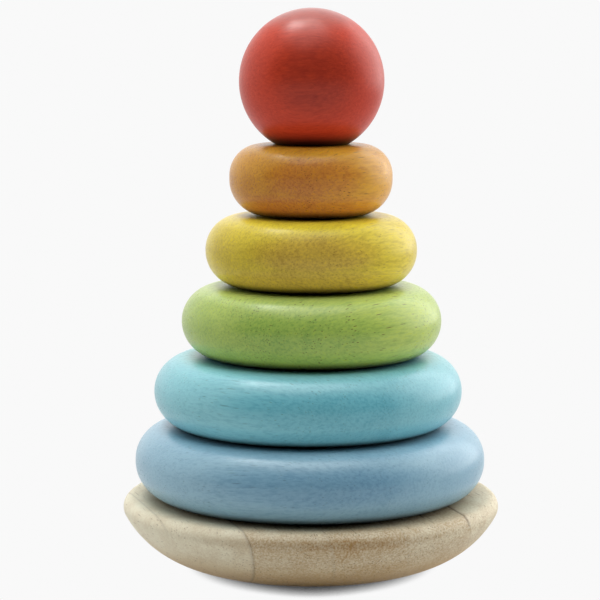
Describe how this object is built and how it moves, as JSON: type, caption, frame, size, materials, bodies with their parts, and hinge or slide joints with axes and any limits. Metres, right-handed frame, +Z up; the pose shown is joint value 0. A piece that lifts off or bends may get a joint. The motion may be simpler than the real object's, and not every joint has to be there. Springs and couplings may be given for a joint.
{
  "type": "stacking ring toy",
  "caption": "Wooden stacking toy: stained bullnose rings that get smaller upwards and a ball, loose on a round peg glued into a bowl-shaped base with a flat foot.",
  "frame": {"origin": "centre of the flat foot under the base", "axes": "+Z up along the peg, from the foot to the ball; the picture looks along +Y, with +X to its right"},
  "size_m": [0.12, 0.12, 0.1761],
  "materials": {
    "natural_wood": "clear satin oil on pale hardwood",
    "blue_stain": "satin blue stain, grain showing",
    "teal_stain": "satin teal stain, grain showing",
    "green_stain": "satin green stain, grain showing",
    "yellow_stain": "satin yellow stain, grain showing",
    "orange_stain": "satin orange stain, grain showing",
    "red_stain": "satin red stain, grain showing"
  },
  "bodies": {
    "stand": {"base": "natural_wood", "peg": "natural_wood"},
    "blue_ring": {"ring_blue": "blue_stain"},
    "teal_ring": {"ring_teal": "teal_stain"},
    "green_ring": {"ring_green": "green_stain"},
    "yellow_ring": {"ring_yellow": "yellow_stain"},
    "orange_ring": {"ring_orange": "orange_stain"},
    "red_ball": {"ball_red": "red_stain"}
  },
  "joints": [
    {"name": "blue_lift", "type": "slide", "parent": "stand", "child": "blue_ring", "axis": [0, 0, 1], "range_m": [0, 0.142]},
    {"name": "teal_lift", "type": "slide", "parent": "blue_ring", "child": "teal_ring", "axis": [0, 0, 1], "range_m": [0, 0.1196]},
    {"name": "green_lift", "type": "slide", "parent": "teal_ring", "child": "green_ring", "axis": [0, 0, 1], "range_m": [0, 0.0972]},
    {"name": "yellow_lift", "type": "slide", "parent": "green_ring", "child": "yellow_ring", "axis": [0, 0, 1], "range_m": [0, 0.0748]},
    {"name": "orange_lift", "type": "slide", "parent": "yellow_ring", "child": "orange_ring", "axis": [0, 0, 1], "range_m": [0, 0.0524]},
    {"name": "ball_lift", "type": "slide", "parent": "orange_ring", "child": "red_ball", "axis": [0, 0, 1], "range_m": [0, 0.03]}
  ]
}
